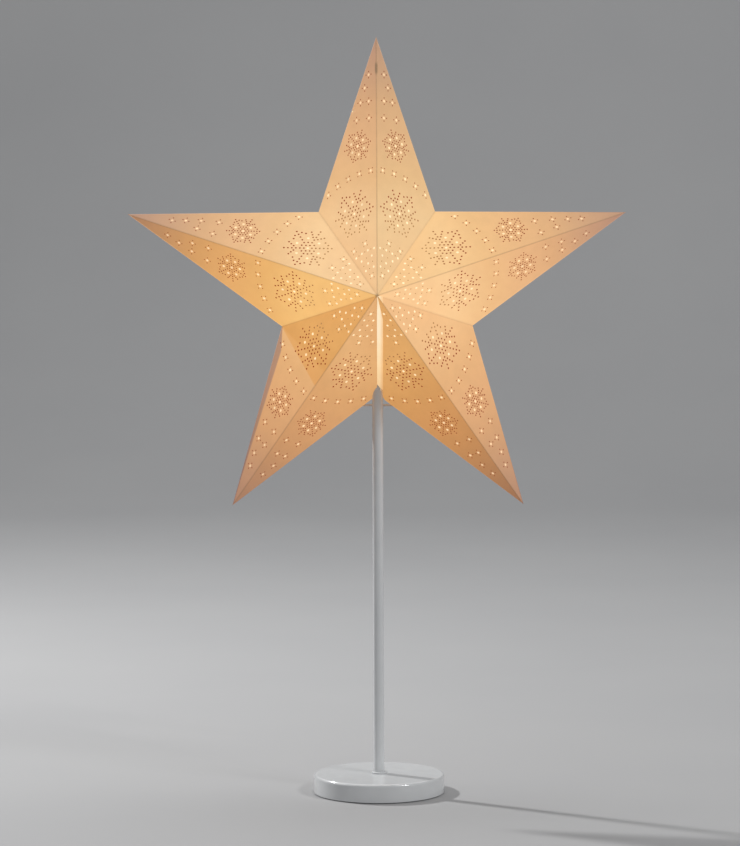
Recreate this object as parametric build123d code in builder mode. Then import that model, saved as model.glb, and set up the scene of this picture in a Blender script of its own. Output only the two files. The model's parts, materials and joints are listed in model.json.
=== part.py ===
"""Folded-paper star lamp on a pole: a weighted round foot, a 10 mm tube, an E14 lampholder with its
lamp, and a five-armed perforated paper star that turns about the pole. Millimetres, +Z up, the origin
on the table under the pole, and the star's face towards -Y."""

from build123d import *
from math import cos, radians, sin
import os

os.makedirs("parts", exist_ok=True)

# ------------------------------------------------------------------ driving dimensions
# Paper star
star_height = 458.0        # star centre above the table
star_half_depth = 62.5     # centre to the front or back apex
top_reach = 233.0          # centre to the tip of the top arm
side_reach = 237.5
lower_reach = 233.5
side_angle = 18.1          # side arms above the horizontal, degrees
lower_angle = 55.35        # lower arms below the horizontal, degrees
notch_reach = 91.3         # centre to the notch between two arms
upper_notch_angle = 54.9   # notches beside the top arm, degrees above the horizontal
lower_notch_angle = -18.3
paper = 0.5
facet_distance = 47.8      # star centre to the plane of a facet, square to it
glue_tab_width = 8.0
seam_left = -0.4           # the open seam under the front apex, seen from the front
seam_right = 5.0
seam_taper = 26.0          # height over which the seam closes below the apex
pole_clearance = 6.5       # radius left free in the paper where the pole enters

# Foot
base_radius = 60.0
base_top = 17.4
base_gap = 0.8             # shell edge above the table
shell_wall = 1.2
shell_edge_radius = 2.5
pad_thickness = 1.2
pad_inner = 34.0
pad_outer = 56.5
plate_radius = 58.2
plate_thickness = 1.2
weight_radius = 57.3
weight_bottom = 2.6
pocket_radius = 13.0
pocket_top = 11.3
channel_width = 24.0
screw_circle = 26.0
cord_height = 8.0
cord_bore = 3.0
cord_neck = 4.2            # grommet through the shell
grommet_flange = 2.0

# Pole and its fasteners
pole_radius = 5.0
pole_bore = 4.0
pole_bottom = 6.8
pole_top = 395.0
nut_flats = 14.0
nut_thickness = 3.0
washer_thickness = 1.3
collar_radius = 7.25
collar_height = 2.0

# Lampholder
holder_radius = 14.0
holder_bottom = 388.0
holder_split = 405.0       # where the cap ends and the barrel starts
holder_top = 432.0
holder_inner = 12.4
lower_ring_height = 411.5
upper_ring_height = 419.0
shade_ring_radius = 19.5
shade_ring_thickness = 3.0

# Lamp
globe_radius = 22.5
globe_height = 466.0
lamp_bottom = 415.0
cap_radius = 6.9
glass_wall = 0.9

# Wire support inside the star
wire_radius = 1.5
support_height = 416.8
support_ring_radius = 16.2
support_back = 30.0
support_top = 672.0

star_centre = Vector(0, 0, star_height)
base_inner_top = base_top - shell_wall


def keep(part, name):
    """Names a finished piece and writes it."""
    part.label = name
    export_step(part, f"parts/{name}.step")


# ------------------------------------------------------------------ foot
with BuildPart() as foot_pad:
    Cylinder(pad_outer, pad_thickness, align=(Align.CENTER, Align.CENTER, Align.MIN))
    Cylinder(pad_inner, 3 * pad_thickness, mode=Mode.SUBTRACT)
    fillet(foot_pad.edges().filter_by(GeomType.CIRCLE).group_by(Axis.Z)[0], 0.3)
keep(foot_pad.part, "foot_pad")

with BuildPart() as bottom_plate:
    with BuildSketch(Plane.XY.offset(pad_thickness)):
        Circle(plate_radius)
        with PolarLocations(screw_circle, 3, start_angle=30):
            Circle(1.8, mode=Mode.SUBTRACT)
    extrude(amount=plate_thickness)
    screw_rims = bottom_plate.edges().filter_by(GeomType.CIRCLE).group_by(Axis.Z)[0].sort_by(SortBy.RADIUS)
    chamfer(screw_rims[:3], 0.9)
keep(bottom_plate.part, "bottom_plate")

with BuildPart() as plate_screws:
    with BuildSketch(Plane.XY.offset(pad_thickness)):
        with PolarLocations(screw_circle, 3, start_angle=30):
            Circle(1.8)
    extrude(amount=8.0)
    with BuildSketch(Plane.XY.offset(pad_thickness)):
        with PolarLocations(screw_circle, 3, start_angle=30):
            Circle(2.7)
    extrude(amount=0.9, taper=45)
    with BuildSketch(Plane.XY.offset(pad_thickness)):
        with PolarLocations(screw_circle, 3, start_angle=30):
            Rectangle(3.2, 0.6)
            Rectangle(0.6, 3.2)
    extrude(amount=0.5, mode=Mode.SUBTRACT)
keep(plate_screws.part, "plate_screws")

with BuildPart() as base_weight:
    with BuildSketch(Plane.XY.offset(weight_bottom)):
        Circle(weight_radius)
        Circle(pole_radius, mode=Mode.SUBTRACT)
    extrude(amount=base_inner_top - weight_bottom)
    fillet(base_weight.edges().filter_by(GeomType.CIRCLE).group_by(Axis.Z)[-1].sort_by(SortBy.RADIUS)[-1], 1.5)
    with BuildSketch(Plane.XY.offset(weight_bottom)):
        Circle(pocket_radius)
        with Locations((0, weight_radius / 2)):
            Rectangle(channel_width, weight_radius)
        with PolarLocations(screw_circle, 3, start_angle=30):
            Circle(1.8)
    extrude(amount=pocket_top - weight_bottom, mode=Mode.SUBTRACT)
    with BuildSketch(Plane.XY.offset(weight_bottom)):
        with Locations((0, weight_radius)):
            Rectangle(channel_width, 4 * grommet_flange)
    extrude(amount=base_top, mode=Mode.SUBTRACT)
keep(base_weight.part, "base_weight")

with BuildPart() as base_shell:
    with BuildSketch(Plane.XY.offset(base_gap)):
        Circle(base_radius)
    extrude(amount=base_top - base_gap)
    fillet(base_shell.edges().filter_by(GeomType.CIRCLE).group_by(Axis.Z)[-1], shell_edge_radius)
    offset(amount=-shell_wall, openings=base_shell.faces().sort_by(Axis.Z)[0])
    with BuildSketch(Plane.XY.offset(base_gap)):
        Circle(pole_radius)
    extrude(amount=base_top, mode=Mode.SUBTRACT)
    with BuildSketch(Plane(origin=(0, base_radius - 6, cord_height), z_dir=(0, 1, 0))):
        Circle(cord_neck)
    extrude(amount=8.0, mode=Mode.SUBTRACT)
keep(base_shell.part, "base_shell")

# The grommet snaps into the shell's rear wall, with a flange on each side of it.
cord_exit = Plane(origin=(0, base_radius, cord_height), z_dir=(0, 1, 0))
with BuildPart() as cord_grommet:
    with BuildSketch(cord_exit):
        Circle(cord_neck + 1.0)
    extrude(amount=1.8)
    fillet(cord_grommet.edges().filter_by(GeomType.CIRCLE).group_by(Axis.Y)[-1], 0.8)
    with BuildSketch(cord_exit):
        Circle(cord_neck)
    extrude(amount=-1.6)
    with BuildSketch(cord_exit.offset(-1.6)):
        Circle(cord_neck + 1.2)
    extrude(amount=-grommet_flange)
    with BuildSketch(cord_exit.offset(-4.0)):
        Circle(cord_bore)
    extrude(amount=8.0, mode=Mode.SUBTRACT)
keep(cord_grommet.part, "cord_grommet")

with BuildPart() as connector_block:
    with BuildSketch(Plane.XY.offset(pad_thickness + plate_thickness)):
        with Locations((0, 30)):
            Rectangle(15, 11)
            Rectangle(1.2, 14, mode=Mode.SUBTRACT)
            Rectangle(1.2, 5)
    extrude(amount=8.0)
    with BuildSketch(Plane.XZ.offset(-24)):
        with Locations((-3.6, 5.4), (3.6, 5.4)):
            Circle(1.0)
    extrude(amount=-12.0, mode=Mode.SUBTRACT)
    with BuildSketch(Plane.XY.offset(pad_thickness + plate_thickness + 8.0)):
        with GridLocations(7.2, 6, 2, 2):
            with Locations((0, 30)):
                Circle(1.5)
    extrude(amount=-2.0, mode=Mode.SUBTRACT)
keep(connector_block.part, "connector_block")

# ------------------------------------------------------------------ pole
with BuildPart() as pole_tube:
    with BuildSketch(Plane.XY.offset(pole_bottom)):
        Circle(pole_radius)
        Circle(pole_bore, mode=Mode.SUBTRACT)
    extrude(amount=pole_top - pole_bottom)
    chamfer(pole_tube.edges().filter_by(GeomType.CIRCLE).sort_by(SortBy.RADIUS)[-2:], 0.4)
keep(pole_tube.part, "pole_tube")


def hex_nut(bottom):
    """A thin M10 x 1 nut on the pole, its lower face at this height."""
    with BuildPart() as nut:
        with BuildSketch(Plane.XY.offset(bottom)):
            RegularPolygon(nut_flats / 2, 6, major_radius=False)
            Circle(pole_radius, mode=Mode.SUBTRACT)
        extrude(amount=nut_thickness)
    return nut.part


keep(hex_nut(pocket_top - washer_thickness - nut_thickness), "foot_nut")
keep(hex_nut(holder_bottom - nut_thickness), "holder_nut")

with BuildPart() as foot_washer:
    with BuildSketch(Plane.XY.offset(pocket_top - washer_thickness)):
        Circle(pocket_radius - 2)
        Circle(pole_radius, mode=Mode.SUBTRACT)
    extrude(amount=washer_thickness)
keep(foot_washer.part, "foot_washer")

with BuildPart() as foot_collar:
    with BuildSketch(Plane.XY.offset(base_top)):
        Circle(collar_radius)
    extrude(amount=collar_height)
    fillet(foot_collar.edges().filter_by(GeomType.CIRCLE).group_by(Axis.Z)[-1], 0.7)
    with BuildSketch(Plane.XY.offset(base_top)):
        Circle(pole_radius)
    extrude(amount=collar_height, mode=Mode.SUBTRACT)
keep(foot_collar.part, "foot_collar")


def inner_lead(side):
    """One insulated core, from the connector block up the pole to its terminal in the holder."""
    run = [
        (side * 3.6, 26.0, 5.4),
        (side * 3.6, 20.0, 5.4),
        (side * 1.3, 12.0, 4.2),
        (side * 1.3, 0.0, 4.2),
        (side * 1.3, 0.0, pole_top + 1.5),
        (side * 5.0, 0.0, pole_top + 6.0),
        (side * 5.0, 0.0, holder_split + 4.0),
    ]
    with BuildPart() as lead:
        with BuildLine() as route:
            FilletPolyline(*run, radius=[4.0, 4.0, 4.8, 3.0, 3.0])
        with BuildSketch(Plane(origin=run[0], z_dir=route.line % 0)):
            Circle(0.9)
        sweep()
    return lead.part


keep(inner_lead(-1), "live_lead")
keep(inner_lead(1), "neutral_lead")

# ------------------------------------------------------------------ lampholder
with BuildPart() as holder_cap:
    with BuildSketch(Plane.XZ):
        with BuildLine():
            Polyline(
                (pole_radius, holder_bottom),
                (9.0, holder_bottom),
                (9.0, holder_bottom + 5),
                (holder_radius, holder_bottom + 11),
                (holder_radius, holder_split),
                (holder_inner - 1.4, holder_split),
                (holder_inner - 1.4, pole_top + 2.5),
                (6.0, pole_top),
                (pole_radius, pole_top),
                close=True,
            )
        make_face()
    revolve(axis=Axis.Z)
    with BuildSketch(Plane.XZ.offset(pole_radius - 1)):
        with Locations((0, holder_bottom + 2.5)):
            Circle(1.5)
    extrude(amount=6.0, mode=Mode.SUBTRACT)
keep(holder_cap.part, "holder_cap")

with BuildPart() as grub_screw:
    with BuildSketch(Plane.XZ.offset(pole_radius)):
        with Locations((0, holder_bottom + 2.5)):
            Circle(1.5)
    extrude(amount=3.6)
    with BuildSketch(Plane.XZ.offset(pole_radius + 3.6)):
        with Locations((0, holder_bottom + 2.5)):
            Rectangle(2.6, 0.5)
    extrude(amount=-0.8, mode=Mode.SUBTRACT)
keep(grub_screw.part, "grub_screw")

with BuildPart() as holder_barrel:
    with BuildSketch(Plane.XY.offset(holder_split)):
        Circle(holder_radius)
        Circle(holder_inner, mode=Mode.SUBTRACT)
    extrude(amount=holder_top - holder_split)
    fillet(holder_barrel.edges().filter_by(GeomType.CIRCLE).group_by(Axis.Z)[-1].sort_by(SortBy.RADIUS)[-1], 0.8)
keep(holder_barrel.part, "holder_barrel")

with BuildPart() as holder_insert:
    with BuildSketch(Plane.XY.offset(holder_split)):
        Circle(holder_inner)
        with Locations((-5, 0), (5, 0)):
            Circle(0.9, mode=Mode.SUBTRACT)
    extrude(amount=4.0)
    with BuildSketch(Plane.XY.offset(holder_split + 4.0)):
        Circle(holder_inner)
    extrude(amount=5.0)
    with BuildSketch(Plane.XZ):
        with Locations((-5, holder_split + 2.2), (5, holder_split + 2.2)):
            Circle(1.2)
    extrude(amount=holder_inner, mode=Mode.SUBTRACT)
keep(holder_insert.part, "holder_insert")

with BuildPart() as terminal_screws:
    with BuildSketch(Plane.XZ.offset(0.9)):
        with Locations((-5, holder_split + 2.2), (5, holder_split + 2.2)):
            Circle(1.2)
    extrude(amount=8.0)
    with BuildSketch(Plane.XZ.offset(8.9)):
        with Locations((-5, holder_split + 2.2), (5, holder_split + 2.2)):
            Rectangle(2.0, 0.4)
    extrude(amount=-0.6, mode=Mode.SUBTRACT)
keep(terminal_screws.part, "terminal_screws")

screw_shell_bottom = holder_split + 9.0
with BuildPart() as screw_shell:
    with BuildSketch(Plane.XY.offset(screw_shell_bottom)):
        Circle(7.65)
        Circle(7.25, mode=Mode.SUBTRACT)
    extrude(amount=15.5)
    with BuildSketch(Plane.XY.offset(screw_shell_bottom)):
        Circle(8.6)
        Circle(7.25, mode=Mode.SUBTRACT)
    extrude(amount=0.5)
keep(screw_shell.part, "screw_shell")

with BuildPart() as centre_contact:
    with BuildSketch(Plane.XY.offset(screw_shell_bottom)):
        Rectangle(3.2, 9.0)
    extrude(amount=0.4)
    with BuildSketch(Plane.XY.offset(screw_shell_bottom + 0.4)):
        Circle(1.4)
    extrude(amount=0.5)
keep(centre_contact.part, "centre_contact")

with BuildPart() as side_contact:
    with BuildSketch(Plane.XY.offset(screw_shell_bottom + 0.5)):
        with Locations((7.95, 0)):
            Rectangle(1.0, 3.0)
        Circle(7.65, mode=Mode.SUBTRACT)
    extrude(amount=7.0)
keep(side_contact.part, "side_contact")


def shade_ring(bottom):
    """A knurled plastic ring on the holder's outside thread."""
    with BuildPart() as ring:
        with BuildSketch(Plane.XY.offset(bottom)):
            Circle(shade_ring_radius)
            Circle(holder_radius, mode=Mode.SUBTRACT)
            with PolarLocations(shade_ring_radius + 0.4, 24):
                Circle(1.0, mode=Mode.SUBTRACT)
        extrude(amount=shade_ring_thickness)
    return ring.part


keep(shade_ring(lower_ring_height), "shade_ring_lower")
keep(shade_ring(upper_ring_height), "shade_ring_upper")

# ------------------------------------------------------------------ lamp
with BuildPart() as lamp_contact:
    with BuildSketch(Plane.XY.offset(lamp_bottom)):
        Circle(2.4)
    extrude(amount=1.0)
    fillet(lamp_contact.edges().filter_by(GeomType.CIRCLE).group_by(Axis.Z)[0], 0.5)
keep(lamp_contact.part, "lamp_contact")

with BuildPart() as lamp_insulator:
    with BuildSketch(Plane.XY.offset(lamp_bottom + 1.0)):
        Circle(3.6)
    with BuildSketch(Plane.XY.offset(lamp_bottom + 3.0)):
        Circle(5.6)
    loft()
keep(lamp_insulator.part, "lamp_insulator")

with BuildPart() as lamp_cap:
    with BuildSketch(Plane.XZ):
        with BuildLine():
            Polyline(
                (0, lamp_bottom + 3.0),
                (5.6, lamp_bottom + 3.0),
                (cap_radius, lamp_bottom + 5.0),
                (cap_radius, lamp_bottom + 17.0),
                (cap_radius - 0.4, lamp_bottom + 17.0),
                (cap_radius - 0.4, lamp_bottom + 5.2),
                (5.4, lamp_bottom + 3.4),
                (0, lamp_bottom + 3.4),
                close=True,
            )
        make_face()
    revolve(axis=Axis.Z)
keep(lamp_cap.part, "lamp_cap")

glass_foot = lamp_bottom + 17.0
neck_radius = 10.4
neck_height = globe_height - (globe_radius ** 2 - neck_radius ** 2) ** 0.5
with BuildPart() as lamp_glass:
    with BuildSketch(Plane.XZ):
        with BuildLine():
            Polyline((0, glass_foot), (7.6, glass_foot), (neck_radius, neck_height))
            RadiusArc((neck_radius, neck_height), (globe_radius, globe_height), -globe_radius)
            RadiusArc((globe_radius, globe_height), (0, globe_height + globe_radius), -globe_radius)
            Line((0, globe_height + globe_radius), (0, glass_foot))
        make_face()
    revolve(axis=Axis.Z)
    offset(amount=-glass_wall, openings=lamp_glass.faces().sort_by(Axis.Z)[0])
keep(lamp_glass.part, "lamp_glass")

with BuildPart() as lamp_stem:
    with BuildSketch(Plane.XY.offset(glass_foot)):
        Circle(6.2)
    with BuildSketch(Plane.XY.offset(glass_foot + 6)):
        Circle(2.6)
    loft()
    with BuildSketch(Plane.XY.offset(glass_foot + 6)):
        Circle(2.6)
    extrude(amount=10.0)
keep(lamp_stem.part, "lamp_stem")

filament_foot = glass_foot + 22.0
filament_length = 26.0
with BuildPart() as lamp_filaments:
    with BuildSketch(Plane.XY.offset(filament_foot)):
        with PolarLocations(7.0, 4, start_angle=45):
            Circle(0.9)
    extrude(amount=filament_length)
keep(lamp_filaments.part, "lamp_filaments")

with BuildPart() as filament_wires:
    with BuildSketch(Plane.XY.offset(glass_foot + 16)):
        Circle(0.5)
    extrude(amount=filament_foot + filament_length + 1.2 - glass_foot - 16)
    for level in (filament_foot - 0.8, filament_foot + filament_length):
        with BuildSketch(Plane.XY.offset(level)):
            Rectangle(16.0, 0.8, rotation=45)
            Rectangle(16.0, 0.8, rotation=-45)
        extrude(amount=0.8)
keep(filament_wires.part, "filament_wires")

# ------------------------------------------------------------------ wire support
with BuildPart() as support_ring:
    with BuildSketch(Plane.XZ):
        with Locations((support_ring_radius, support_height)):
            Circle(wire_radius)
    revolve(axis=Axis.Z)
keep(support_ring.part, "support_ring")

with BuildPart() as support_rod:
    with BuildLine() as support_route:
        FilletPolyline(
            (0, support_ring_radius + wire_radius, support_height),
            (0, support_back, support_height),
            (0, support_back, globe_height + 38),
            (0, 0, globe_height + 68),
            (0, 0, support_top),
            radius=[6.0, 20.0, 20.0],
        )
    with BuildSketch(Plane(origin=support_route.line @ 0, z_dir=support_route.line % 0)):
        Circle(wire_radius)
    sweep()
keep(support_rod.part, "support_rod")

with BuildPart() as support_cap:
    with BuildSketch(Plane.XY.offset(support_top - 9)):
        Circle(2.4)
    extrude(amount=11.0)
    fillet(support_cap.edges().filter_by(GeomType.CIRCLE).group_by(Axis.Z)[-1], 1.0)
    with BuildSketch(Plane.XY.offset(support_top - 9)):
        Circle(wire_radius)
    extrude(amount=9.0, mode=Mode.SUBTRACT)
keep(support_cap.part, "support_cap")

# ------------------------------------------------------------------ paper star
front_apex = Vector(0, -star_half_depth, 0)
back_apex = Vector(0, star_half_depth, 0)
inner_size = 1 - paper / facet_distance
tab_size = 1 - 1.8 * paper / facet_distance
face_plane = Plane(origin=star_centre, x_dir=(1, 0, 0), z_dir=(0, -1, 0))


def from_centre(reach, angle):
    """A point in the star's middle plane, from its reach and its angle above the horizontal."""
    return Vector(reach * cos(radians(angle)), 0, reach * sin(radians(angle)))


notch_upper_right = from_centre(notch_reach + 0.5, upper_notch_angle)
notch_lower_right = from_centre(notch_reach, lower_notch_angle)
notch_bottom = from_centre(notch_reach, -90)
notch_lower_left = from_centre(notch_reach, 180 - lower_notch_angle)
notch_upper_left = from_centre(notch_reach + 0.5, 180 - upper_notch_angle)

arm_corners = {
    "arm_top": (from_centre(top_reach, 90), notch_upper_right, notch_upper_left),
    "arm_right": (from_centre(side_reach, side_angle), notch_lower_right, notch_upper_right),
    "arm_lower_right": (from_centre(lower_reach, -lower_angle), notch_bottom, notch_lower_right),
    "arm_lower_left": (from_centre(lower_reach, 180 + lower_angle), notch_lower_left, notch_bottom),
    "arm_left": (from_centre(side_reach, 180 - side_angle), notch_upper_left, notch_lower_left),
}


def facet_plane(apex, tip, notch):
    """The plane of one facet, its normal away from the star's centre."""
    outward = (tip - apex).cross(notch - apex)
    if outward.dot(apex) < 0:
        outward = -outward
    return Plane(origin=star_centre + apex, x_dir=tip - apex, z_dir=outward)


def solid_arm(tip, notches, size):
    """An arm with no hollow: a kite cut to its four facets. A smaller size gives the space inside."""
    tip = tip * size
    notches = [notch * size for notch in notches]
    with BuildPart() as arm:
        with BuildSketch(face_plane):
            with BuildLine():
                Polyline((0, 0), (notches[0].X, notches[0].Z), (tip.X, tip.Z), (notches[1].X, notches[1].Z),
                         close=True)
            make_face()
        extrude(amount=star_half_depth * size, both=True)
        for apex in (front_apex * size, back_apex * size):
            for notch in notches:
                split(bisect_by=facet_plane(apex, tip, notch), keep=Keep.BOTTOM)
    return arm.part


# What the two lower arms leave open: the seam under each apex, the pole, and the clip's eyelets.
with BuildPart() as seam_opening:
    with BuildSketch(face_plane):
        with BuildLine():
            Polyline(
                (0, 0),
                (seam_left, -seam_taper),
                (seam_left, -2 * notch_reach),
                (seam_right, -2 * notch_reach),
                (seam_right, -seam_taper),
                close=True,
            )
        make_face()
    extrude(amount=2 * star_half_depth, both=True)
    with BuildSketch(Plane.XY.offset(star_height - 2 * notch_reach)):
        Circle(pole_clearance)
    extrude(amount=2 * notch_reach - seam_taper)

clip_height = star_height - 102.0
clip_back = 8.0
clip_half_length = 24.0
clip_wire = 1.0
with BuildPart() as closing_clip:
    with BuildLine() as clip_route:
        FilletPolyline(
            (-clip_half_length, clip_back, clip_height - 8),
            (-clip_half_length, clip_back, clip_height),
            (clip_half_length, clip_back, clip_height),
            (clip_half_length, clip_back, clip_height - 8),
            radius=2.0,
        )
    with BuildSketch(Plane(origin=clip_route.line @ 0, z_dir=clip_route.line % 0)):
        Circle(clip_wire)
    sweep()
keep(closing_clip.part, "closing_clip")

with BuildPart() as eyelets:
    with BuildSketch(Plane.YZ.offset(-clip_half_length)):
        with Locations((clip_back, clip_height)):
            Circle(clip_wire + 0.3)
    extrude(amount=2 * clip_half_length)

for arm_name, (tip, first_notch, second_notch) in arm_corners.items():
    arm_space = solid_arm(tip, (first_notch, second_notch), inner_size)
    with BuildPart() as paper_arm:
        add(solid_arm(tip, (first_notch, second_notch), 1.0))
        add(arm_space, mode=Mode.SUBTRACT)
        if "lower" in arm_name:
            add(seam_opening.part, mode=Mode.SUBTRACT)
            add(eyelets.part, mode=Mode.SUBTRACT)
    keep(paper_arm.part, arm_name)

# Each glued fold has a tab of one arm bent inwards behind it. The number is the fold's notch.
glued_folds = {
    "glue_tab_upper_right": ("arm_top", 1),
    "glue_tab_lower_right": ("arm_right", 1),
    "glue_tab_lower_left": ("arm_lower_left", 1),
    "glue_tab_upper_left": ("arm_left", 1),
}
for tab_name, (arm_name, fold) in glued_folds.items():
    corners = arm_corners[arm_name]
    tip, notch, other_notch = corners[0], corners[fold], corners[3 - fold]
    tab_space = solid_arm(tip, (notch, other_notch), tab_size)
    along_fold = notch.normalized()
    into_arm = (tip - along_fold * tip.dot(along_fold)).normalized()
    tab_edge = Plane(origin=star_centre + into_arm * glue_tab_width, x_dir=(0, 1, 0), z_dir=into_arm)
    with BuildPart() as glue_tab:
        add(solid_arm(tip, (notch, other_notch), inner_size))
        add(tab_space, mode=Mode.SUBTRACT)
        split(bisect_by=tab_edge, keep=Keep.BOTTOM)
    keep(glue_tab.part, tab_name)
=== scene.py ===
# %% [markdown]
# # A paper star lamp
# The lamp is a folded star of pierced paper that turns about a thin white pole, over a round
# weighted foot. The CAD frame holds every rigid piece at its true size. This script adds what
# the frame leaves plain: the pierced paper, the lining that glows behind it, and each finish.

# %% Load the frame
import bmesh
import bpy
import json
from math import cos, pi, radians, sin
from mathutils import Matrix, Vector


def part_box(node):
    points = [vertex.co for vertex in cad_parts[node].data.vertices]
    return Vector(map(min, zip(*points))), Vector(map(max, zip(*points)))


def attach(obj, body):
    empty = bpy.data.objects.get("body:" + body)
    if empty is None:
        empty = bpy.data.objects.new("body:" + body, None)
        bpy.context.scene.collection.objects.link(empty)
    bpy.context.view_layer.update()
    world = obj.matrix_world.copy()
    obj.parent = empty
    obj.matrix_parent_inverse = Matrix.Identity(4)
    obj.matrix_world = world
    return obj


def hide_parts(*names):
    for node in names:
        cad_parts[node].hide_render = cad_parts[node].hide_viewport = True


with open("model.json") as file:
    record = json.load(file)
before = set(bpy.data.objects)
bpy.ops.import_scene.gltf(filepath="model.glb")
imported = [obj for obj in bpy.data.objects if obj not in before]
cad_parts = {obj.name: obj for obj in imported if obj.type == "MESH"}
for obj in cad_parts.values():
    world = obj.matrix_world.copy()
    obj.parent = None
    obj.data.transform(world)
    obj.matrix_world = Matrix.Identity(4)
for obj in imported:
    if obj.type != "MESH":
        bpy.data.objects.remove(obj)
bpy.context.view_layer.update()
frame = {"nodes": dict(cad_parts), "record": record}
mm = 0.001

# %% [markdown]
# ## Camera
# A long lens from far away keeps the star's arms nearly parallel, as on a product shelf. The
# camera stands level with the star's top and looks down by a few degrees, so that the top of the
# foot shows as a thin ellipse.

# %% Camera
camera_place = (-0.0070, -3.7, 0.695)
looking_down = radians(5.47)
camera_roll = radians(-0.24)

camera_data = bpy.data.cameras.new("camera")
camera_data.lens = 173.5
camera_data.sensor_width = 36.0
camera = bpy.data.objects.new("camera", camera_data)
camera.location = camera_place
pitch = Matrix.Rotation(radians(90) - looking_down, 3, "X")
roll = Matrix.Rotation(camera_roll, 3, "Z")
camera.rotation_euler = (pitch @ roll).to_euler()
bpy.context.scene.collection.objects.link(camera)
bpy.context.scene.camera = camera
print("camera", tuple(round(c, 3) for c in camera.location))

# %% [markdown]
# ## Finishes
# Every finish is made of nodes on the piece's own coordinates, so it is fixed to the piece.
# A finish starts as a Principled shader with its constant values set on the shader itself.
# Small noises then vary the colour and the gloss and raise a fine bump, at the scale of the
# real surface.

# %% Node helpers
def new_finish(name, **values):
    """A material with one Principled shader, with these constants on its sockets."""
    material = bpy.data.materials.new(name)
    material.use_nodes = True
    shader = material.node_tree.nodes["Principled BSDF"]
    for socket, value in values.items():
        shader.inputs[socket.replace("_", " ")].default_value = value
    return material, shader


def add_node(material, kind, inputs=None, **settings):
    """A new node, with its settings and its inputs, which are constants or other nodes' outputs."""
    node = material.node_tree.nodes.new(kind)
    for setting, value in settings.items():
        setattr(node, setting, value)
    for socket, value in (inputs or {}).items():
        if isinstance(value, bpy.types.NodeSocket):
            material.node_tree.links.new(value, node.inputs[socket])
        else:
            node.inputs[socket].default_value = value
    return node


def calculate(material, operation, *values):
    """The result of a sum on numbers or other nodes' outputs."""
    return add_node(material, "ShaderNodeMath", dict(enumerate(values)), operation=operation).outputs[0]


def separate(material, vector):
    """A vector's X, Y and Z."""
    return add_node(material, "ShaderNodeSeparateXYZ", {0: vector}).outputs


def scale_colour(material, colour, factor):
    """A colour made brighter or darker by a factor."""
    inputs = {0: colour, "Scale": factor}
    return add_node(material, "ShaderNodeVectorMath", inputs, operation="SCALE").outputs["Vector"]


def own_place(material):
    """The piece's own coordinates, in metres."""
    return add_node(material, "ShaderNodeTexCoord").outputs["Object"]


def noise(material, grain, detail=3.0, roughness=0.5):
    """Noise whose features are about one grain across, in metres."""
    inputs = {"Vector": own_place(material), "Scale": 1 / grain, "Detail": detail, "Roughness": roughness}
    return add_node(material, "ShaderNodeTexNoise", inputs).outputs["Fac"]


def spread(material, value, low, high):
    """Stretches a noise's middle range to run from low to high."""
    inputs = {"Value": value, "From Min": 0.3, "From Max": 0.7, "To Min": low, "To Max": high}
    return add_node(material, "ShaderNodeMapRange", inputs).outputs["Result"]


def blend_colours(material, factor, first, second, mode="MIX"):
    """A mix of two colours, which are constants or other nodes' outputs."""
    mix = add_node(material, "ShaderNodeMix", data_type="RGBA", blend_type=mode)
    for socket, value in ((mix.inputs[0], factor), (mix.inputs[6], first), (mix.inputs[7], second)):
        if isinstance(value, bpy.types.NodeSocket):
            material.node_tree.links.new(value, socket)
        else:
            socket.default_value = value
    return mix.outputs[2]


def connect(material, output, socket):
    material.node_tree.links.new(output, socket)


def raise_bump(material, shader, height, depth):
    """A bump of this depth, in metres, from a height between 0 and 1."""
    bump = add_node(material, "ShaderNodeBump", {"Height": height, "Distance": depth, "Strength": 1.0})
    connect(material, bump.outputs["Normal"], shader.inputs["Normal"])


# %% Rigid finishes
def solid_finish(name, colour, darker, roughness, grain, bump_depth, **values):
    """Plastic, metal or lacquer: two close tones, an uneven gloss and a fine bump."""
    material, shader = new_finish(name, **values)
    patches = spread(material, noise(material, 12 * grain), 0, 1)
    tone = blend_colours(material, patches, (*colour, 1), (*darker, 1))
    connect(material, tone, shader.inputs["Base Color"])
    gloss = spread(material, noise(material, 5 * grain), 0.85 * roughness, 1.15 * roughness)
    connect(material, gloss, shader.inputs["Roughness"])
    raise_bump(material, shader, noise(material, grain, 2.0), bump_depth)
    return material


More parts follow.
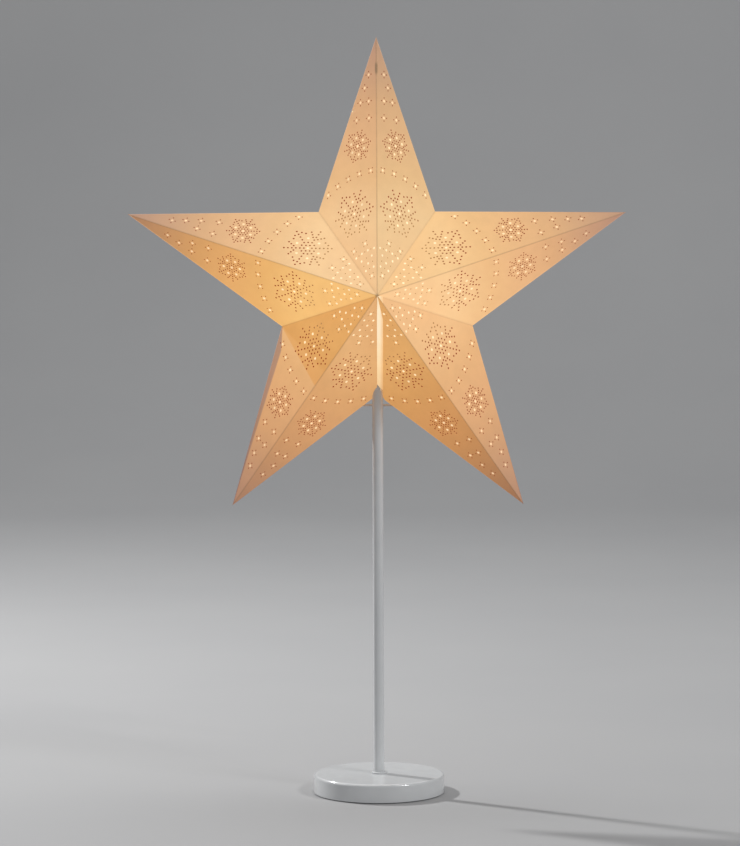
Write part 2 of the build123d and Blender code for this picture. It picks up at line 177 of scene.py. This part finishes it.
finishes = {
    "white_lacquer": solid_finish("white_lacquer", (0.66, 0.67, 0.675), (0.63, 0.64, 0.645), 0.18,
                                  1.6 * mm, 0.004 * mm, Coat_Weight=0.7, Coat_Roughness=0.05),
    "white_plastic": solid_finish("white_plastic", (0.82, 0.81, 0.78), (0.77, 0.76, 0.73), 0.38,
                                  0.5 * mm, 0.006 * mm),
    "plated_steel": solid_finish("plated_steel", (0.62, 0.62, 0.63), (0.5, 0.51, 0.54), 0.3,
                                 0.6 * mm, 0.004 * mm, Metallic=1.0),
    "cast_weight": solid_finish("cast_weight", (0.09, 0.09, 0.092), (0.05, 0.05, 0.052), 0.75,
                                0.9 * mm, 0.12 * mm, Metallic=0.6),
    "foot_foam": solid_finish("foot_foam", (0.62, 0.62, 0.60), (0.52, 0.52, 0.5), 0.9,
                              0.5 * mm, 0.08 * mm, Sheen_Weight=0.2),
    "brass": solid_finish("brass", (0.78, 0.55, 0.24), (0.62, 0.42, 0.17), 0.27,
                          0.5 * mm, 0.004 * mm, Metallic=1.0),
    "lamp_nickel": solid_finish("lamp_nickel", (0.72, 0.70, 0.66), (0.62, 0.60, 0.57), 0.22,
                                0.5 * mm, 0.004 * mm, Metallic=1.0),
    "wire_steel": solid_finish("wire_steel", (0.56, 0.56, 0.57), (0.42, 0.42, 0.43), 0.32,
                               0.4 * mm, 0.006 * mm, Metallic=1.0),
    "wire_white": solid_finish("wire_white", (0.68, 0.68, 0.69), (0.6, 0.6, 0.61), 0.4,
                               0.5 * mm, 0.008 * mm),
    "lead_brown": solid_finish("lead_brown", (0.16, 0.055, 0.02), (0.11, 0.04, 0.015), 0.42,
                               0.5 * mm, 0.01 * mm),
    "lead_blue": solid_finish("lead_blue", (0.03, 0.09, 0.4), (0.02, 0.06, 0.3), 0.42,
                              0.5 * mm, 0.01 * mm),
    "black_insulator": solid_finish("black_insulator", (0.012, 0.012, 0.014), (0.02, 0.02, 0.024), 0.12,
                                    0.5 * mm, 0.004 * mm, Coat_Weight=0.5, Coat_Roughness=0.05),
    "filament_yellow": solid_finish("filament_yellow", (0.9, 0.52, 0.06), (0.78, 0.42, 0.04), 0.5,
                                    0.3 * mm, 0.02 * mm),
}
print(len(finishes), "rigid finishes")

# %% [markdown]
# ## Light in the paper
# The lamp shines through the paper, so the paper glows: lightest where it is close to the lamp,
# deeper orange further out, and dim at the tips. True scattering would be noisy, so the glow is
# emission whose colour depends on the distance from the lamp. That distance is measured in the
# piece's own coordinates, and turns with the star because the lamp is on its axis.

# %% Glow by distance from the lamp
star_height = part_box("arm_top")[0].z
lamp_low, lamp_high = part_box("lamp_glass")
lamp_centre = Vector((0, 0, lamp_high.z - (lamp_high.x - lamp_low.x) / 2))
glow_reach = 250 * mm


def lamp_distance(material):
    """Distance from the lamp's centre, as a share of the glow's reach."""
    inputs = {0: own_place(material), 1: lamp_centre}
    away = add_node(material, "ShaderNodeVectorMath", inputs, operation="DISTANCE").outputs["Value"]
    return calculate(material, "MULTIPLY", away, 1 / glow_reach)


def glow_ramp(material, stops):
    """Colour from the distance to the lamp. A stop is a distance in millimetres and a colour."""
    ramp = add_node(material, "ShaderNodeValToRGB", {"Fac": lamp_distance(material)})
    elements = ramp.color_ramp.elements
    while len(elements) < len(stops):
        elements.new(0.5)
    for element, (distance, colour) in zip(elements, stops):
        element.position = distance * mm / glow_reach
        element.color = (*colour, 1)
    return ramp.outputs["Color"]


print("lamp centre", round(lamp_centre.z, 4), "star centre", round(star_height, 4))

# %% Pierced paper
paper_glow = [
    (45, (0.70, 0.40, 0.18)),
    (75, (0.70, 0.42, 0.19)),
    (105, (0.62, 0.34, 0.14)),
    (135, (0.58, 0.30, 0.13)),
    (165, (0.50, 0.25, 0.11)),
    (200, (0.37, 0.18, 0.10)),
    (240, (0.24, 0.11, 0.09)),
]


def own_value(material, name):
    """A value that the mesh carries at each corner, blended over its faces."""
    return add_node(material, "ShaderNodeAttribute", attribute_name=name).outputs


def between(material, value, low, high, at_low, at_high):
    """A soft step from at_low to at_high as the value goes from low to high."""
    inputs = {"Value": value, "From Min": low, "From Max": high, "To Min": at_low, "To Max": at_high}
    return add_node(material, "ShaderNodeMapRange", inputs, interpolation_type="SMOOTHSTEP").outputs["Result"]


def times(material, first, second):
    return calculate(material, "MULTIPLY", first, second)


def crease_shade(material, depth):
    """A factor that paints shade on the creases and where they meet, paints the support's shadow and paints a
    highlight along the outer edges.
    """
    sides = separate(material, own_value(material, "creases")["Vector"])
    # Painted shade along the ridge, and half as deep along the folds.
    ridge = between(material, sides["X"], 0.15, 1.3, 1 - depth, 1.0)
    fold = between(material, sides["Y"], 0.1, 1.4, 1 - 0.5 * depth, 1.0)
    # Painted highlight: the glow is lighter along the facets' outer edges.
    rim = between(material, sides["Z"], 0.2, 1.3, 1 + 0.4 * depth, 1.0)
    # Painted shade where the ridge and the fold meet at the apex.
    near_apex = calculate(material, "ADD", sides["X"], sides["Y"])
    apex = between(material, near_apex, 0.5, 1.8, 1 - 1.6 * depth, 1.0)
    # Painted shadow of the support's cap: a narrow dark mark near the axis in the top arm.
    place = separate(material, own_place(material))
    off_axis = calculate(material, "ABSOLUTE", place["X"])
    off_cap = calculate(material, "ABSOLUTE", calculate(material, "SUBTRACT", place["Z"], cap_height))
    beside = between(material, off_axis, 0.5 * mm, 1.9 * mm, 1.0, 0.0)
    along = between(material, off_cap, 2.0 * mm, 7.5 * mm, 1.0, 0.0)
    shadow = between(material, times(material, beside, along), 0.0, 1.0, 1.0, 0.35)
    shade = ridge
    for factor in (fold, rim, apex, shadow):
        shade = times(material, shade, factor)
    return shade


def tint_zone(material, colour, zone, tint):
    """Multiplies a colour by a tint where the zone's value is above zero."""
    inside_zone = between(material, zone, -0.7, 0.7, 0.0, 1.0)
    return blend_colours(material, inside_zone, colour, (*tint, 1), "MULTIPLY")


def paper_finish(name, glow, colour, crease_depth, mottle=0.035):
    """Matt paper that glows. A crease depth above zero also paints shade and highlights at its creases and
    edges, and tints its glow by facet and by zone.
    """
    material, shader = new_finish(name, Roughness=0.85, Emission_Strength=1.0)
    shader.inputs["Specular IOR Level"].default_value = 0.2
    cloud = spread(material, noise(material, 9 * mm, 4.0), 1 - mottle, 1 + mottle)
    fibre = spread(material, noise(material, 1.3 * mm, 2.0), 0.985, 1.015)
    shade = times(material, cloud, fibre)
    light = glow_ramp(material, glow)
    if crease_depth:
        shade = times(material, shade, crease_shade(material, crease_depth))
        # Each facet's tint makes its painted glow lighter, paler or deeper orange.
        tint = own_value(material, "tint")["Vector"]
        tinted = add_node(material, "ShaderNodeVectorMath", {0: light, 1: tint}, operation="MULTIPLY")
        # A tint on the painted glow makes a patch near the apex deeper orange, and painted shade dulls a
        # strip along one edge.
        zones = separate(material, own_value(material, "zones")["Vector"])
        strip = calculate(material, "MINIMUM", zones["Y"], zones["Z"])
        light = tint_zone(material, tinted.outputs["Vector"], zones["X"], deep_glow_patch_tint)
        light = tint_zone(material, light, strip, shaded_strip_tint)
    connect(material, scale_colour(material, light, shade), shader.inputs["Emission Color"])
    tone = blend_colours(material, cloud, (*[0.9 * c for c in colour], 1), (*colour, 1))
    connect(material, tone, shader.inputs["Base Color"])
    raise_bump(material, shader, noise(material, 0.9 * mm, 4.0, 0.65), 0.03 * mm)
    return material


cap_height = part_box("support_cap")[0].z
# Tints on the painted glow: a deeper orange patch near the apex, and painted shade on a dull strip along an
# edge.
deep_glow_patch_tint = (0.94, 0.80, 0.50)
shaded_strip_tint = (0.48, 0.48, 0.85)
paper_colour = (0.30, 0.21, 0.12)
finishes["perforated_paper"] = paper_finish("perforated_paper", paper_glow, paper_colour, 0.30)
finishes["plain_paper"] = paper_finish("plain_paper", paper_glow, paper_colour, 0.0)

window_glow = [
    (45, (0.98, 0.80, 0.52)),
    (110, (0.95, 0.70, 0.42)),
    (180, (0.84, 0.58, 0.35)),
    (240, (0.55, 0.40, 0.28)),
]
lining_glow = [
    (45, (0.52, 0.32, 0.15)),
    (66, (0.42, 0.23, 0.09)),
    (82, (0.26, 0.030, 0.010)),
    (130, (0.24, 0.026, 0.009)),
    (200, (0.23, 0.040, 0.018)),
    (240, (0.20, 0.050, 0.030)),
]
flap_glow = [
    (40, (0.85, 0.66, 0.42)),
    (56, (0.90, 0.74, 0.52)),
    (63, (0.90, 0.70, 0.44)),
    (78, (0.86, 0.62, 0.34)),
    (96, (0.74, 0.50, 0.27)),
]
finishes["window_paper"] = paper_finish("window_paper", window_glow, paper_colour, 0.0, 0.12)
finishes["lining_paper"] = paper_finish("lining_paper", lining_glow, (0.07, 0.018, 0.010), 0.0)


def flap_finish():
    """The paper's finish, brightest where the flap faces the lamp and deeper towards its fold."""
    material = paper_finish("flap_paper", flap_glow, paper_colour, 0.0)
    shader = material.node_tree.nodes["Principled BSDF"]
    glow_now = shader.inputs["Emission Color"].links[0].from_socket
    sideways = separate(material, own_place(material))["X"]
    # Painted shade: the flap's glow is dimmer towards its fold.
    to_fold = between(material, sideways, 1.5 * mm, 5.0 * mm, 0.0, 1.0)
    glow_dimmed_to_fold = blend_colours(material, to_fold, glow_now, (0.92, 0.74, 0.58, 1), "MULTIPLY")
    connect(material, glow_dimmed_to_fold, shader.inputs["Emission Color"])
    return material


finishes["flap_paper"] = flap_finish()

# %% Opal glass of the lamp
def opal_finish():
    """White glass that is brightest over the filaments and dimmer at the neck."""
    material, shader = new_finish("opal_glass", Roughness=0.25, Emission_Strength=3.0)
    shader.inputs["Base Color"].default_value = (0.9, 0.86, 0.78, 1)
    glass_glow = [(0, (1.0, 0.80, 0.50)), (24, (1.0, 0.78, 0.48)), (40, (0.55, 0.36, 0.2))]
    even = spread(material, noise(material, 6 * mm), 0.96, 1.04)
    light = scale_colour(material, glow_ramp(material, glass_glow), even)
    connect(material, light, shader.inputs["Emission Color"])
    return material


finishes["opal_glass"] = opal_finish()

# %% Give the CAD nodes their finishes
slots = {entry["node"]: entry["material_slot"] for entry in frame["record"]["subparts"]}
for node_name, node_object in frame["nodes"].items():
    node_object.data.materials.clear()
    node_object.data.materials.append(finishes[slots[node_name]])
print(len(slots), "nodes finished")

# %% [markdown]
# ## Folding the star
# Each arm has four flat facets: two in front and two behind. A facet is a triangle from the apex
# in the star's middle to the tip and to the notch between two arms. Its own flat layout has the
# ridge along X, so that the same pattern is laid out once and placed twenty times. The front
# apex stands a little higher than the back one, as in a star that leans back.

# %% The star's corners
half_depth = -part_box("arm_top")[0].y
star_centre = Vector((0, 0, star_height))
front_lift = 3 * mm
side_angle = radians(18.1)
lower_angle = radians(55.35)


def from_centre(reach, angle):
    return Vector((reach * cos(angle), 0, reach * sin(angle)))


top_tip = Vector((0, 0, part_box("arm_top")[1].z - star_height))
side_tip = from_centre(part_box("arm_right")[1].x / cos(side_angle), side_angle)
lower_tip = from_centre(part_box("arm_lower_right")[1].x / cos(lower_angle), -lower_angle)
upper_notch = from_centre(91.8 * mm, radians(54.9))
lower_notch = from_centre(91.3 * mm, radians(-18.3))
bottom_notch = from_centre(91.3 * mm, radians(-90))
mirror_x = Matrix.Scale(-1, 3, (1, 0, 0))

arms = {
    "top": (top_tip, upper_notch, mirror_x @ upper_notch),
    "right": (side_tip, lower_notch, upper_notch),
    "lower_right": (lower_tip, bottom_notch, lower_notch),
    "lower_left": (mirror_x @ lower_tip, mirror_x @ lower_notch, bottom_notch),
    "left": (mirror_x @ side_tip, mirror_x @ upper_notch, mirror_x @ lower_notch),
}
for arm_name, (tip, *_) in arms.items():
    print(arm_name, "tip", tuple(round(c * 1000) for c in tip))


def facet_frame(front, tip, notch):
    """The matrix from a facet's flat layout to its place: X from the apex to the tip, Z outwards."""
    apex = Vector((0, -half_depth, front_lift)) if front else Vector((0, half_depth, 0))
    along = (tip - apex).normalized()
    outward = along.cross(notch - apex).normalized()
    if outward.dot(apex) < 0:
        outward.negate()
    across = outward.cross(along)
    place = Matrix((along, across, outward)).transposed().to_4x4()
    place.translation = star_centre + apex
    return place


# %% [markdown]
# ## The pierced pattern
# The paper is pierced with large holes, which glow, and small ones. A spark is one large hole
# with four small ones round it. A snowflake has a large hole in the middle and six round it, and
# six branches of small holes. Every other branch ends in an arrowhead, and the rest open like a
# fork.
# A rosette of sparks that share their small holes surrounds the apex, an arc of sparks crosses
# the arm and a trail of them leads to the tip, with a large and a small snowflake between.

# %% Pattern parts
large_hole = 1.3
rosette_hole = 1.15
small_hole = 0.93
spark_dot = 0.68
spark_reach = 2.9


def turned(radius, angle, centre=(0.0, 0.0)):
    return (centre[0] + radius * cos(angle), centre[1] + radius * sin(angle))


def spark(centre, turn):
    """Holes as (x, y, radius), in millimetres."""
    corners = [(*turned(spark_reach, turn + quarter * pi / 2, centre), spark_dot) for quarter in range(4)]
    return [(*centre, large_hole)] + corners


def snowflake(centre, size):
    """A snowflake of this size. At size 1, its branches are six steps of 3.6 mm long."""
    step = 3.6 * size
    small = small_hole * size ** 0.5
    holes = [(*centre, large_hole)]
    for sixth in range(6):
        window = radians(9.5 + 60 * sixth)
        branch = window + radians(30)
        holes.append((*turned(3.17 * step, window, centre), large_hole))
        holes.append((*turned(1.82 * step, window, centre), small))
        for place in range(1, 7):
            holes.append((*turned(place * step, branch, centre), small))
        arrowhead = sixth % 2 == 0
        if arrowhead:
            beside = [(5.2, 10.8), (4.7, 21.8)]
        else:
            beside = [(3.65, 11.0), (4.4, 17.0), (5.15, 21.5)]
        for reach, aside in beside:
            for side in (-1, 1):
                holes.append((*turned(reach * step, branch + side * radians(aside), centre), small))
    return holes


def rosette():
    """Rings of large and small holes in turn, and an outer ring of sparks, over 37.4 degrees."""
    full = 37.4
    holes = spark(turned(20.0, radians(18)), radians(62))
    for reach, bright, dark in (
        (27.4, (8.6, 28.2), (18.7,)),
        (32.6, (18.7,), (9.4, 28.0)),
        (38.0, (9.4, 28.0), (18.7,)),
        (44.2, [full * (place + 0.5) / 4 for place in range(4)], [full * place / 4 for place in (1, 2, 3)]),
    ):
        holes += [(*turned(reach, radians(angle)), rosette_hole) for angle in bright]
        holes += [(*turned(reach, radians(angle)), spark_dot) for angle in dark]
    for angle in (15.6, 31.2):
        holes += spark(turned(51.3, radians(angle)), radians(45 + angle))
    for along in (50.0, 54.4):
        holes.append((along, 2.1, spark_dot))
    return holes


def arm_pattern():
    """Every hole of one facet, with the ridge along X and the facet at positive Y."""
    holes = rosette() + snowflake((78.5, 26.0), 1.0) + snowflake((140.4, 22.0), 0.69)
    for place in range(5):
        angle = 3.5 + 6.45 * place
        reach = 116.3 - 0.22 * (place - 1.2) ** 2
        holes += spark(turned(reach, radians(angle)), radians(45 + angle))
    for place in ((164.5, 23.0), (164.5, 8.8), (180.2, 18.5), (180.2, 9.0), (193.2, 13.5), (204.8, 9.0)):
        holes += spark(place, 0.0)
    return holes


pattern = arm_pattern()
print(len(pattern), "holes in each facet")

# %% [markdown]
# ## Cutting a sheet
# A flat curve is the easiest way to cut holes in a sheet: every closed line inside the outline
# becomes a hole, and the curve's extrusion gives the paper its thickness and each hole its wall.
# The curve is made a mesh before it is folded into place.

# %% Cut sheets
def closed_line(curve, points):
    """A closed straight-sided line through these points, which are in millimetres."""
    line = curve.splines.new("POLY")
    line.points.add(len(points) - 1)
    for point, (x, y) in zip(line.points, points):
        point.co = (x * mm, y * mm, 0, 1)
    line.use_cyclic_u = True


def round_line(x, y, radius):
    sides = 8 if radius < 1.0 else 12
    return [turned(radius, 2 * pi * side / sides, (x, y)) for side in range(sides)]


def cut_sheet(outlines, top, thickness):
    """A flat mesh cut along these closed lines, its upper face at this height in millimetres."""
    curve = bpy.data.curves.new("cut", "CURVE")
    curve.dimensions = "2D"
    curve.fill_mode = "BOTH"
    curve.extrude = thickness * mm / 2
    for outline in outlines:
        closed_line(curve, outline)
    holder = bpy.data.objects.new("cut", curve)
    bpy.context.scene.collection.objects.link(holder)
    bpy.context.view_layer.update()
    flat = bpy.data.meshes.new_from_object(holder.evaluated_get(bpy.context.evaluated_depsgraph_get()))
    bpy.data.objects.remove(holder)
    bpy.data.curves.remove(curve)
    sheet = bmesh.new()
    sheet.from_mesh(flat)
    bpy.data.meshes.remove(flat)
    bmesh.ops.remove_doubles(sheet, verts=sheet.verts, dist=0.001 * mm)
    bmesh.ops.recalc_face_normals(sheet, faces=sheet.faces)
    bmesh.ops.translate(sheet, verts=sheet.verts, vec=(0, 0, (top - thickness / 2) * mm))
    return sheet


no_zone = -9.0


def line_distance(point, start, end):
    """Distance from a flat point to a line, in millimetres."""
    run = end - start
    return abs(run.x * (point.y - start.y) - run.y * (point.x - start.x)) / run.length / mm


def note_look(sheet, corners, look):
    """Notes each point's distance from the creases, its facet's tint and its place in the zones."""
    creases = sheet.verts.layers.float_vector.new("creases")
    tint = sheet.verts.layers.float_vector.new("tint")
    zones = sheet.verts.layers.float_vector.new("zones")
    apex, tip, notch = corners
    for vert in sheet.verts:
        outer = line_distance(vert.co, tip, notch)
        vert[creases] = (line_distance(vert.co, apex, tip), line_distance(vert.co, apex, notch), outer)
        vert[tint] = look["tint"]
        reach = vert.co.x / mm
        # Zones for the glow's deeper orange patch near the apex and for the strip of painted shade along the
        # edge.
        deep_glow_patch = 104.0 - reach - 0.225 * abs(vert.co.y) / mm if look.get("deep_glow_patch") else no_zone
        to_tip = 0.05 * (240.0 - reach) - outer if look.get("shaded_strip") else no_zone
        to_notch = 0.35 * (reach - 86.0) - outer
        vert[zones] = (deep_glow_patch, to_tip, to_notch)


def add_sheet(piece, sheet, place, finish_index=0):
    """Folds a sheet into place in a piece."""
    for face in sheet.faces:
        face.material_index = finish_index
    bmesh.ops.transform(sheet, matrix=place, verts=sheet.verts)
    folded = bpy.data.meshes.new("folded")
    sheet.to_mesh(folded)
    sheet.free()
    piece.from_mesh(folded)
    bpy.data.meshes.remove(folded)


def finish_piece(piece, name, materials):
    """Makes the piece an object with its materials."""
    mesh = bpy.data.meshes.new(name)
    piece.to_mesh(mesh)
    piece.free()
    for material in materials:
        mesh.materials.append(material)
    new_object = bpy.data.objects.new(name, mesh)
    bpy.context.scene.collection.objects.link(new_object)
    return new_object


# %% [markdown]
# ## The open seam
# The star was folded from one strip of five arms, and its two ends meet under the apex. There the
# paper stays open by a few millimetres, so that the star can be put over the pole. A clip behind
# the pole holds the two lower arms together.

# %% Outline of a facet
seam_left = -0.4
seam_right = 5.0
seam_taper = 26.0
left_corner_cut = 7.5
right_corner_cut = 2.0
paper_thickness = 0.45
hole_margin = 2.2 * mm


def facet_outline(place, tip, notch, at_seam, seam_edge, corner_cut):
    """The facet's outline in its layout. At the seam, a strip along the fold is cut away."""
    flat = place.inverted()
    tip_point = (flat @ (star_centre + tip)).to_2d()
    notch_point = (flat @ (star_centre + notch)).to_2d()
    apex_point = Vector((0, 0))
    if not at_seam:
        return [apex_point, tip_point, notch_point]
    fold = notch_point.normalized()
    inward = (tip_point - fold * tip_point.dot(fold)).normalized()
    sideways = abs((place.to_3x3() @ inward.to_3d()).x)
    strip = inward * abs(seam_edge) * mm / sideways
    edge = (tip_point - notch_point).normalized()
    cut_notch = notch_point + edge * strip.length / abs(edge.dot(inward))
    slope = fold * corner_cut * mm
    return [
        apex_point,
        tip_point,
        cut_notch + edge * 0.8 * corner_cut * mm,
        cut_notch - slope,
        fold * seam_taper * mm + strip,
    ]


def inside(point, outline):
    """Whether a flat point lies inside an outline, well clear of its edges."""
    found = False
    for start, end in zip(outline, outline[1:] + outline[:1]):
        if (start.y > point.y) != (end.y > point.y):
            crossing = start.x + (point.y - start.y) * (end.x - start.x) / (end.y - start.y)
            found ^= point.x < crossing
        run = end - start
        share = max(0.0, min(1.0, (point - start).dot(run) / run.length_squared))
        if (start + run * share - point).length < hole_margin:
            return False
    return found


# %% How each facet takes the light
# Each facet has a tint that multiplies its painted glow, so that some facets are painted paler and
# others deeper orange. On either side of the star, one facet's glow is painted deeper orange in a
# patch near the apex, and painted shade dulls a strip along its edge. The order in an arm is that
# of its notches.
looks = {
    "top": ({"tint": (0.9, 1.0, 1.1)}, {"tint": (1.0, 1.05, 1.15)}),
    "right": ({"tint": (1.15, 1.2, 1.3)}, {"tint": (1.0, 1.05, 1.05)}),
    "lower_right": ({"tint": (0.9, 0.75, 0.5)}, {"tint": (0.95, 0.9, 0.9)}),
    "lower_left": (
        {"tint": (1.0, 0.95, 0.9), "deep_glow_patch": True, "shaded_strip": True},
        {"tint": (0.9, 0.8, 0.7)},
    ),
    "left": ({"tint": (1.0, 1.1, 1.25)}, {"tint": (1.15, 1.1, 0.8)}),
}

# %% Cut and fold the arms
glowing_hole = 0.95
lining_margin = 1.6
window_top, window_thickness, window_overlap = -0.52, 0.1, 0.2
lining_tops = (-0.65, -0.8)
lining_thickness = 0.15


def drawn_in(outline, amount):
    """The outline with each corner drawn towards its middle."""
    middle = sum(outline, Vector((0, 0))) / len(outline)
    return [point + (middle - point).normalized() * amount * mm for point in outline]


def in_millimetres(outline):
    return [(point.x / mm, point.y / mm) for point in outline]


for arm_name, (tip, *notches) in arms.items():
    paper = bmesh.new()
    lining = bmesh.new()
    for front in (True, False):
        for notch, look in zip(notches, looks[arm_name]):
            place = facet_frame(front, tip, notch)
            at_seam = notch is bottom_notch
            on_right = arm_name == "lower_right"
            seam_edge = seam_right if on_right else seam_left
            corner_cut = right_corner_cut if on_right else left_corner_cut
            outline = facet_outline(place, tip, notch, at_seam, seam_edge, corner_cut)
            side = 1 if outline[2].y > 0 else -1
            holes = [
                (x, side * y, radius) for x, y, radius in pattern
                if inside(Vector((x, side * y)) * mm, outline)
            ]
            corners = (Vector((0, 0)), outline[1], (place.inverted() @ (star_centre + notch)).to_2d())
            lines = [in_millimetres(outline)] + [round_line(*hole) for hole in holes]
            facet = cut_sheet(lines, 0.0, paper_thickness)
            note_look(facet, corners, look)
            add_sheet(paper, facet, place)
            back_outline = in_millimetres(drawn_in(outline, lining_margin))
            for layer, top in enumerate(lining_tops):
                add_sheet(lining, cut_sheet([back_outline], top, lining_thickness), place, layer)
            discs = [
                round_line(x, y, radius + window_overlap) for x, y, radius in holes
                if radius > glowing_hole
            ]
            add_sheet(lining, cut_sheet(discs, window_top, window_thickness), place, 2)
    paper_arm = finish_piece(paper, "paper_arm_" + arm_name, [finishes["perforated_paper"]])
    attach(paper_arm, "star")
    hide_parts("arm_" + arm_name)
    lining_arm = finish_piece(lining, "lining_" + arm_name, [
        finishes["lining_paper"], finishes["plain_paper"], finishes["window_paper"]])
    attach(lining_arm, "star")
    for made in (paper_arm, lining_arm):
        print(made.name, len(made.data.polygons), "faces")

# %% [markdown]
# The four closed folds between the arms are glued. Each has a tab of paper on the inside, which
# runs along the fold on the front and on the back.

# %% Glue tabs
glued_arms = {
    "upper_right": ("top", "right"),
    "lower_right": ("right", "lower_right"),
    "lower_left": ("lower_left", "left"),
    "upper_left": ("left", "top"),
}
tab_width = 8 * mm
tab_top = -1.1
tab_thickness = 0.25

for tab_name, (arm_name, neighbour) in glued_arms.items():
    tip, *notches = arms[arm_name]
    shared_notch = next(notch for notch in notches if notch in arms[neighbour][1:])
    glue_tab = bmesh.new()
    for front in (True, False):
        place = facet_frame(front, tip, shared_notch)
        fold = (place.inverted() @ (star_centre + shared_notch)).to_2d()
        along = fold.normalized()
        inward = (Vector((1, 0)) - along * along.x).normalized() * tab_width
        outline = [fold * 0.1, fold * 0.94, fold * 0.9 + inward, fold * 0.26 + inward]
        add_sheet(glue_tab, cut_sheet([in_millimetres(outline)], tab_top, tab_thickness), place)
    tab_object = finish_piece(glue_tab, "paper_tab_" + tab_name, [finishes["plain_paper"]])
    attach(tab_object, "star")
    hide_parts("glue_tab_" + tab_name)
print(len(glued_arms), "glue tabs")

# %% [markdown]
# ## The seam's flap
# The lower right arm has a narrow flap along its side of the seam. It bends in behind the other
# arm's edge, and the lamp close behind makes it the brightest paper of all. It is a short curved
# profile, extruded along the fold, cut off above the pole and made solid. A profile point is a
# distance sideways and a distance inwards from the fold, in millimetres.

# %% Seam flap
flap_profile = [(5.0, -1.9), (3.2, -0.9), (1.2, 0.05), (-1.2, 0.6)]
flap_start, flap_length = 0.006, 0.94
flap_steps = 8
flap_thickness = 0.25 * mm
flap_end = Vector((seam_right * mm, 0, star_height - 88.5 * mm))
flap_end_slope = (-9.0, 0, -6.2)


def seam_flap(piece, front):
    """The flap in front of the lamp, or the one behind it."""
    facing = -1 if front else 1
    top = star_centre + Vector((0, facing * half_depth, front_lift if front else 0))
    run = star_centre + bottom_notch - top
    profile = [Vector((x, -facing * inwards, 0)) * mm for x, inwards in flap_profile]
    verts = [piece.verts.new(top + run * flap_start + point) for point in profile]
    edges = [piece.edges.new(pair) for pair in zip(verts, verts[1:])]
    for _ in range(flap_steps):
        grown = bmesh.ops.extrude_edge_only(piece, edges=edges)["geom"]
        moved = [item for item in grown if isinstance(item, bmesh.types.BMVert)]
        edges = [item for item in grown if isinstance(item, bmesh.types.BMEdge)]
        bmesh.ops.translate(piece, verts=moved, vec=run * flap_length / flap_steps)


flap = bmesh.new()
for front in (True, False):
    seam_flap(flap, front)
everything = flap.verts[:] + flap.edges[:] + flap.faces[:]
bmesh.ops.bisect_plane(flap, geom=everything, plane_co=flap_end, plane_no=flap_end_slope, clear_outer=True)
bmesh.ops.recalc_face_normals(flap, faces=flap.faces)
bmesh.ops.solidify(flap, geom=flap.faces[:], thickness=flap_thickness)
for face in flap.faces:
    face.smooth = True
flap_object = finish_piece(flap, "seam_flap", [finishes["flap_paper"]])
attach(flap_object, "star")
print("seam flap", len(flap_object.data.polygons), "faces")

# %% [markdown]
# ## Studio
# A pale floor curves up into a backdrop, as in a product studio. A soft light hangs in front and
# to the right, with a small one beside it, and a weaker one fills from the left. A small one behind
# on the left draws the pole's thin shadow on the floor, and a wide one lights the backdrop. A
# faint warm light inside the star stands for the lamp.

# %% Floor and backdrop
studio_side = 6.0
floor_back = 2.2
bend_radius = 1.5
bend_steps = 12

studio = bmesh.new()
studio_profile = [(-studio_side, 0), (floor_back, 0)]
for step in range(1, bend_steps + 1):
    turn = radians(90 * step / bend_steps)
    studio_profile.append((floor_back + bend_radius * sin(turn), bend_radius * (1 - cos(turn))))
studio_profile.append((floor_back + bend_radius, studio_side))
profile_verts = [studio.verts.new((-studio_side, y, z)) for y, z in studio_profile]
profile_edges = [studio.edges.new(pair) for pair in zip(profile_verts, profile_verts[1:])]
swept = bmesh.ops.extrude_edge_only(studio, edges=profile_edges)
new_verts = [item for item in swept["geom"] if isinstance(item, bmesh.types.BMVert)]
bmesh.ops.translate(studio, verts=new_verts, vec=(2 * studio_side, 0, 0))
bmesh.ops.recalc_face_normals(studio, faces=studio.faces)
for face in studio.faces:
    face.smooth = True
floor_finish, floor_shader = new_finish("studio_floor", Roughness=0.7)
floor_noise = noise(floor_finish, 0.3)
floor_tone = blend_colours(floor_finish, floor_noise, (0.33, 0.33, 0.335, 1), (0.36, 0.36, 0.36, 1))
connect(floor_finish, floor_tone, floor_shader.inputs["Base Color"])
backdrop = finish_piece(studio, "studio_backdrop", [floor_finish])

# %% Lights
def soft_light(name, place, target, size, power):
    """A round light at a place, turned towards a target, with its size in metres and power in watts."""
    data = bpy.data.lights.new(name, "AREA")
    data.shape = "DISK"
    data.size = size
    data.energy = power
    light = bpy.data.objects.new(name, data)
    light.location = place
    light.rotation_euler = (Vector(target) - Vector(place)).to_track_quat("-Z", "Y").to_euler()
    bpy.context.scene.collection.objects.link(light)


soft_light("key", (1.7, -1.25, 1.9), (0, 0, 0.3), 0.6, 25)
soft_light("glint", (1.3, -1.45, 1.6), (0, 0, 0.05), 0.12, 5)
soft_light("fill", (-1.95, -0.4, 1.5), (0, 0, 0.3), 0.5, 3)
soft_light("rim", (-1.25, 0.85, 1.5), (0, 0, 0.05), 0.10, 34)
soft_light("backdrop", (0, 0.9, 3.6), (0, 3.4, 0.8), 2.5, 60)

glow = bpy.data.lights.new("lamp_light", "POINT")
glow.energy = 0.16
glow.color = (1.0, 0.72, 0.42)
glow.shadow_soft_size = 0.02
glow_object = bpy.data.objects.new("lamp_light", glow)
glow_object.location = lamp_centre + Vector((0, -0.032, -0.03))
bpy.context.scene.collection.objects.link(glow_object)

world = bpy.data.worlds.new("studio")
world.use_nodes = True
world.node_tree.nodes["Background"].inputs["Color"].default_value = (0.6, 0.62, 0.65, 1)
world.node_tree.nodes["Background"].inputs["Strength"].default_value = 0.38
bpy.context.scene.world = world
bpy.context.scene.view_settings.view_transform = "Standard"
